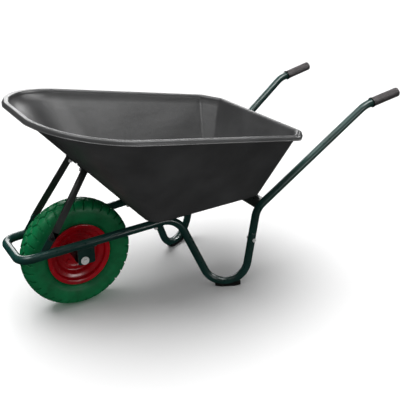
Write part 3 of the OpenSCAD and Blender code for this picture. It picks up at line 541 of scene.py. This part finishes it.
# The lip's section as (inset from the outer edge, height over the lip's top)
lip_section = cut_corners(np.array([
    (20, -16), (19, -9), (17, -4.6), (8, -4.2), (6, -7), (3.6, -16), (0.3, -16), (0, -15.2),
    (0, -13.9), (1.6, -13.0), (2.1, -11), (3.2, -6.5), (5.2, -2.2), (8.4, 0), (11, -0.3), (12.6, -1.2),
    (14.2, -0.4), (17, 0), (20, -0.8), (22, -3.4), (24, -8.5), (25, -16)]), 2)
round_over = np.linspace(0, np.pi / 2, 6)
outer_foot = [floor_ring(EDGE * (1 - np.sin(a)), EDGE * (1 - np.cos(a))) for a in round_over]
inner_foot = [floor_ring(WALL + EDGE * (1 - np.sin(a)), FLOOR_THICK + EDGE * (1 - np.cos(a)))
              for a in round_over[::-1]]
lip_rings = [rim_ring(inset, up) for inset, up in lip_section]
climb = np.linspace(0, 1, WALL_ROWS)[1:-1, None, None]
outer_wall = outer_foot[-1] * (1 - climb) + lip_rings[0] * climb
inner_wall = lip_rings[-1] * (1 - climb) + inner_foot[0] * climb
tray_rings = np.concatenate([outer_foot, outer_wall, lip_rings, inner_wall, inner_foot])
tray_shell = skin("tray_shell", tray_rings * MM + [axle[0], 0, 0], sharp=50)

TRAY_DEEP = (0.050, 0.0505, 0.0515)
TRAY_LIGHT = (0.074, 0.0748, 0.0762)
TRAY_SCUFF = (0.13, 0.13, 0.13)
tray_finish = Finish("moulded_anthracite_plastic", ior=1.49)
tray_cloud = tray_finish.spread(tray_finish.noise(0.12, 4), 0.3, 0.7)
tray_flow = tray_finish.spread(tray_finish.noise(0.05, 5, (6, 6, 1), 0.6), 0.35, 0.75)
tray_grain = tray_finish.noise(0.0016, 3, rough=0.6)
scuffs = tray_finish.spread(tray_finish.noise(0.006, 8, (5, 1, 1), 0.75), 0.64, 0.8, 0.0, 0.16)
tray_base = tray_finish.blend(tray_cloud, TRAY_DEEP, TRAY_LIGHT)
tray_finish.colour(tray_finish.blend(scuffs, tray_base, TRAY_SCUFF))
tray_finish.rough(tray_finish.spread(tray_flow, 0, 1, 0.36, 0.46))
tray_finish.bump(tray_grain, 0.00016)
tray_finish.bump(tray_finish.noise(0.03, 3), 0.0005)
fit(tray_shell, tray_finish.material, "tray_plastic", "frame", "tray")

# ---------------------------------------------------------------- tyre
# Solid polyurethane foam tyre cast in bright green: smooth satin sidewalls, and on the crown a
# row of rounded diamond blocks between shoulder blocks. It never goes flat.

TYRE_R = 200.0
TYRE_HALF = 48.5
BEAD_EDGE_R = 118.0
SQUARENESS = 0.8
PITCHES = 34
GROOVE, GROOVE_HALF, GROOVE_SIDE = 5.0, 1.7, 1.6
TREAD_EDGE, TREAD_FADE = 52, 8
SHOULDER_SLANT = 150
RIDGE_AT, RIDGE = 96, 0.7
PITCH_LENGTH = 2 * np.pi * TYRE_R / PITCHES
NECK_HALF, DIAMOND_HALF = 7, 20
section_height = (TYRE_R - BEAD_EDGE_R) / 1.86
section_mid = TYRE_R - section_height


def tyre_section(s):
    """Half section at arc length s from the crown's middle: the squared ellipse
    (mid + H sign(sin a)|sin a|^q, W cos(a)^q), and its outward direction there."""
    a = np.radians(np.linspace(90, -54, 4001))
    r = section_mid + section_height * np.sign(np.sin(a)) * np.abs(np.sin(a)) ** SQUARENESS
    y = TYRE_HALF * np.cos(a).clip(0) ** SQUARENESS
    length = np.concatenate([[0], np.cumsum(np.hypot(np.diff(r), np.diff(y)))])
    r_at, y_at = np.interp(s, length, r), np.interp(s, length, y)
    ahead_r = np.interp(s + 0.5, length, r) - np.interp(s - 0.5, length, r)
    ahead_y = np.interp(s + 0.5, length, y) - np.interp(s - 0.5, length, y)
    size = np.hypot(ahead_r, ahead_y)
    return r_at, y_at, ahead_y / size, -ahead_r / size


def smooth_step(x):
    """0 below 0, 1 above 1, and 3x^2 - 2x^3 between."""
    x = np.clip(x, 0, 1)
    return x * x * (3 - 2 * x)


def tread_depth(s, turn):
    """How deep the tread is cut at signed arc length s and at `turn`, in pitches round the tyre.
    Two mirrored zigzag grooves cut out a chain of diamonds, short grooves part the diamonds at
    their necks, and slanted grooves part the shoulder blocks."""
    across = np.abs(s)
    zigzag = 2 * np.abs(turn % 1 - 0.5)
    ring = np.abs(across - (NECK_HALF + (DIAMOND_HALF - NECK_HALF) * (1 - zigzag))) / 1.35
    to_neck = (turn + 0.5) % 1 - 0.5
    neck = np.hypot(to_neck * PITCH_LENGTH, np.clip(across - NECK_HALF, 0, None))
    slant = ((turn + (across - DIAMOND_HALF) / SHOULDER_SLANT) % 1) - 0.5
    shoulder = np.hypot(slant * PITCH_LENGTH, np.clip(DIAMOND_HALF - across, 0, None))
    nearest = np.minimum(np.minimum(ring, neck), shoulder)
    cut = 1 - smooth_step((nearest - GROOVE_HALF) / GROOVE_SIDE)
    fade = 1 - smooth_step((across - TREAD_EDGE) / TREAD_FADE)
    return GROOVE * cut * fade


CROWN_ARC, HALF_ARC = 62, 118
half_s = np.concatenate([np.linspace(0, CROWN_ARC, 38), np.linspace(CROWN_ARC, HALF_ARC, 20)[1:]])
signed_s = np.concatenate([-half_s[:0:-1], half_s])
around = PITCHES * 24
turn = np.arange(around) / around * PITCHES
r, y, out_r, out_y = tyre_section(np.abs(signed_s))
cut = tread_depth(signed_s[None], turn[:, None])
ridge = RIDGE * np.exp(-((np.abs(signed_s)[None] - RIDGE_AT) / 1.6) ** 2)
lift = ridge - cut
radius = r[None] + out_r[None] * lift
offset = (y[None] + out_y[None] * lift) * np.sign(signed_s)[None]
bead = np.array([
    (BEAD_EDGE_R, 31.0), (105, 31.5), (101.3, 31.4), (101.3, 23), (99.3, 18.7), (85.5, 11.7)])
bead_r = np.concatenate([bead[:, 0], bead[::-1, 0]])
bead_y = np.concatenate([bead[:, 1], -bead[::-1, 1]])
radius = np.concatenate([radius, np.repeat(bead_r[None], around, 0)], 1)
offset = np.concatenate([offset, np.repeat(bead_y[None], around, 0)], 1)
angle = (turn / PITCHES * 2 * np.pi)[:, None]
tyre_grid = np.stack([radius * np.cos(angle), offset, radius * np.sin(angle)], -1) * MM + axle
tread_tyre = skin("tread_tyre", tyre_grid, closed_rows=True, sharp=48)

TYRE_DEEP = (0.0004, 0.135, 0.040)
TYRE_LIGHT = (0.0008, 0.230, 0.072)
TYRE_BLOOM = (0.006, 0.33, 0.12)
tyre_finish = Finish("green_foam_tyre", ior=1.45, specular=0.3)
tyre_cloud = tyre_finish.spread(tyre_finish.noise(0.05, 4), 0.3, 0.7)
bloom = tyre_finish.spread(tyre_finish.noise(0.008, 7, rough=0.7), 0.5, 0.85, 0.0, 0.30)
tyre_base = tyre_finish.blend(tyre_cloud, TYRE_DEEP, TYRE_LIGHT)
tyre_finish.colour(tyre_finish.blend(bloom, tyre_base, TYRE_BLOOM))
tyre_finish.rough(tyre_finish.spread(tyre_finish.noise(0.015, 4), 0.3, 0.7, 0.36, 0.52))
tyre_finish.bump(tyre_finish.noise(0.0013, 3, rough=0.6), 0.00012)
tyre_finish.bump(tyre_finish.noise(0.012, 3), 0.0003)
fit(tread_tyre, tyre_finish.material, "tyre_foam", "wheel", "tyre")

# ---------------------------------------------------------------- rim halves
# Two pressed steel discs bolted back to back: a flat centre with a stiffening ring, a well, the
# tyre's seat and an edge rolled outwards. Stoved bright red gloss.

RIM_R, RIM_HALF_W, HUB_R, SHEET = 116.0, 39.0, 23.05, 2.4
ROLL = 3.2
ROLL_STEPS = 14
rim_line = cut_corners(np.array([
    (HUB_R, 0.05), (30, 0.05), (52, 0.05), (57, 3.2), (63, 3.2), (68, 0.6), (76, 3), (80, 9), (84, 14),
    (97, 19), (101, 23), (101, 32), (103.5, 34.5), (RIM_R - ROLL, RIM_HALF_W - ROLL)]), 3)
ahead = np.gradient(rim_line, axis=0)
outward = np.stack([-ahead[:, 1], ahead[:, 0]], -1) / np.linalg.norm(ahead, axis=1)[:, None]
outer_line = rim_line + outward * SHEET
roll_centre = np.array([RIM_R - ROLL, RIM_HALF_W - ROLL])
roll_angle = np.radians(np.linspace(100, -150, ROLL_STEPS))
roll = roll_centre + ROLL * np.stack([np.cos(roll_angle), np.sin(roll_angle)], -1)
rim_profile = np.concatenate([outer_line[:-4], roll, rim_line[:-4][::-1]])
RIM_AROUND = 144
profile_r, profile_y = rim_profile.T
t = np.linspace(0, 2 * np.pi, RIM_AROUND, endpoint=False)[:, None]

RIM_DEEP = (0.33, 0.0006, 0.0050)
RIM_LIGHT = (0.58, 0.0012, 0.0100)
RIM_DUST = (0.50, 0.03, 0.04)
rim_paint = painted_steel("red_gloss_paint", RIM_DEEP, RIM_LIGHT, RIM_DUST, gloss=0.18)
for side, sign in (("left", 1), ("right", -1)):
    across = np.broadcast_to(profile_y, (RIM_AROUND, len(profile_y))) * sign
    grid = np.stack([profile_r * np.cos(t), across, profile_r * np.sin(t)], -1) * MM + axle
    fit(skin(side + "_pressed_rim", grid, closed_rows=True, sharp=40),
        rim_paint, "rim_paint", "wheel", side + "_rim_half")

# ---------------------------------------------------------------- hub, caps, axle and bearings
# Turned and bare or painted steel inside the wheel. Only the dust caps, the spacers and the
# axle's ends show beside the brackets.

STEEL_DEEP = (0.26, 0.265, 0.27)
STEEL_LIGHT = (0.46, 0.465, 0.47)
turned_steel = Finish("turned_steel", metallic=1.0)
lathe = turned_steel.noise(0.004, 4, (1, 0.08, 1), 0.6)
turned_steel.colour(turned_steel.blend(turned_steel.spread(lathe, 0.3, 0.7), STEEL_DEEP, STEEL_LIGHT))
turned_steel.rough(turned_steel.spread(turned_steel.noise(0.01, 4), 0.3, 0.7, 0.24, 0.42))
turned_steel.bump(lathe, 0.00008)
hub_paint = painted_steel("dark_hub_paint", (0.012, 0.013, 0.013), (0.024, 0.026, 0.026), BRACE_DUST)
for node, body, finish, slot in (
        ("hub_tube", "wheel", hub_paint, "hub_paint"),
        ("left_dust_cap", "wheel", black_finish.material, "cap_plastic"),
        ("right_dust_cap", "wheel", black_finish.material, "cap_plastic"),
        ("left_axle_spacer", "frame", turned_steel.material, "turned_steel"),
        ("right_axle_spacer", "frame", turned_steel.material, "turned_steel"),
        ("axle_bar", "frame", turned_steel.material, "turned_steel")):
    fit(eased_copy(node, node + "_turned", 0.5 * MM), finish, slot, body, node)
for side in ("left", "right"):
    for part in ("inner_ring", "outer_ring", "balls"):
        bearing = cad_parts[f"{side}_bearing_{part}"]
        bearing.data.materials.clear()
        bearing.data.materials.append(turned_steel.material)

# ---------------------------------------------------------------- fasteners
# Zinc-plated bolts, nuts and washers with a faint yellow and blue passivation bloom. Their
# brightness is a painted highlight: a near-white base colour with little metal in it, so they
# glint under any lamp. The bolts at the braces' feet are blackened and those of the rim are
# stoved red with it.

# Near-white colours: painted glint in place of the plating's reflection, tinted cool and warm
ZINC_GLINT_COOL = (0.88, 0.90, 0.92)
ZINC_GLINT_WARM = (0.95, 0.94, 0.90)
# Mostly diffuse, so the near-white base shows as a painted highlight from every side
zinc = Finish("zinc_plate_painted_glint", metallic=0.12)
zinc.colour(zinc.blend(zinc.spread(zinc.noise(0.006, 5), 0.3, 0.7), ZINC_GLINT_COOL, ZINC_GLINT_WARM))
zinc.rough(zinc.spread(zinc.noise(0.003, 5), 0.3, 0.7, 0.22, 0.40))
zinc.bump(zinc.noise(0.0009, 3), 0.00006)
black_bolts = painted_steel("blackened_bolts", (0.005, 0.006, 0.006), (0.012, 0.013, 0.013), BRACE_DUST)
BOLT_EDGE = 0.45 * MM
for node in ("handle_joint_bolts", "handle_joint_nuts", "tray_front_bolts", "tray_front_nuts",
             "tray_rail_bolts", "tray_rail_nuts", "tray_rear_bolts", "tray_rear_nuts",
             "axle_bolts", "axle_washers"):
    fit(eased_copy(node, node + "_plated", BOLT_EDGE), zinc.material, "zinc_steel", "frame", node)
for node in ("brace_lug_bolts", "brace_lug_nuts"):
    fit(eased_copy(node, node + "_blackened", BOLT_EDGE), black_bolts, "black_steel", "frame", node)
for node in ("rim_bolts", "rim_nuts"):
    fit(eased_copy(node, node + "_painted", BOLT_EDGE), rim_paint, "rim_paint", "wheel", node)

# ---------------------------------------------------------------- studio
# White floor that fills the view under an even, soft overhead light. That light leaves no shine:
# the shine comes from lamps of its own behind, over, in front of and beside the barrow.

FLOOR_SIZE = 600.0
floor_finish = Finish("pale_floor", roughness=0.9)
floor_cloud = floor_finish.spread(floor_finish.noise(0.8, 2), 0.3, 0.7)
floor_finish.colour(floor_finish.blend(floor_cloud, (0.90, 0.90, 0.90), (0.93, 0.93, 0.93)))
floor_mesh = bpy.data.meshes.new("studio_floor")
half_floor = FLOOR_SIZE / 2
floor_corners = [(x * half_floor, y * half_floor, 0) for x, y in ((-1, -1), (1, -1), (1, 1), (-1, 1))]
floor_mesh.from_pydata(floor_corners, [], [(0, 1, 2, 3)])
floor_mesh.materials.append(floor_finish.material)
floor = bpy.data.objects.new("studio_floor", floor_mesh)
bpy.context.scene.collection.objects.link(floor)
floor.visible_diffuse = False
floor.visible_glossy = False

middle = np.array([axle[0] - 0.4, 0.0, 0.4])


def lamp_from(name, kind, toward, distance, power):
    """Lamp of a kind that stands off the middle of the barrow along `toward` and faces it."""
    data = bpy.data.lights.new(name, kind)
    data.energy = power
    lamp = bpy.data.objects.new(name, data)
    bpy.context.scene.collection.objects.link(lamp)
    lamp.location = middle + unit(np.array(toward, float)) * distance
    lamp.rotation_mode = "QUATERNION"
    lamp.rotation_quaternion = Vector(toward).to_track_quat("Z", "Y")
    return lamp


def shine(name, toward, distance, width, height, power):
    """Soft box that only shows as a reflection."""
    lamp = lamp_from(name, "AREA", toward, distance, power)
    lamp.data.shape = "RECTANGLE"
    lamp.data.size, lamp.data.size_y = width, height
    lamp.visible_diffuse = False


sky = lamp_from("overcast_sky", "SUN", (0.12, -0.22, 1.0), 4.0, 3.1)
sky.data.angle = np.radians(56)
sky.visible_glossy = False
shine("behind", (-0.35, -1.0, 0.42), 3.2, 3.0, 1.2, 75)
shine("handle_side", (-0.92, 0.15, 0.33), 3.2, 0.9, 0.8, 55)
shine("above", (0.1, 0.1, 1.0), 2.8, 2.6, 0.5, 30)
shine("front", (-0.36, 0.36, 0.86), 3.2, 2.0, 1.2, 90)
shine("camera_side", (-0.3, 0.85, 0.12), 3.4, 1.4, 0.5, 20)
shine("wheel_side", (0.42, 0.15, 0.88), 3.2, 1.6, 1.0, 42)

world = bpy.data.worlds.new("studio")
world.use_nodes = True
background = world.node_tree.nodes["Background"]
background.inputs["Color"].default_value = (1, 1, 1, 1)
background.inputs["Strength"].default_value = 0.36
bpy.context.scene.world = world
world.cycles_visibility.glossy = False
bpy.context.scene.view_settings.view_transform = "Standard"

# The camera stands ahead of the axle, to the left and above, and looks back along `back`.
CAMERA_AHEAD = np.array([0.70755, 2.05239, 1.33373])
CAMERA_TURN, CAMERA_RISE, CAMERA_ROLL = np.radians([30.859, 23.85, -0.4345])
back = np.array([np.sin(CAMERA_TURN) * np.cos(CAMERA_RISE), np.cos(CAMERA_TURN) * np.cos(CAMERA_RISE),
                 np.sin(CAMERA_RISE)])
level = unit(np.cross([0, 0, 1], back))
rise = np.cross(back, level)
right = np.cos(CAMERA_ROLL) * level + np.sin(CAMERA_ROLL) * rise
up = np.cross(back, right)
camera_data = bpy.data.cameras.new("camera")
camera_data.sensor_width = 36.0
camera_data.lens = 60.404
camera = bpy.data.objects.new("camera", camera_data)
bpy.context.scene.collection.objects.link(camera)
stand = CAMERA_AHEAD + [axle[0], 0, 0]
turned = np.eye(4)
turned[:3] = np.stack([right, up, back, stand], 1)
camera.matrix_world = Matrix(turned.tolist())
bpy.context.scene.camera = camera
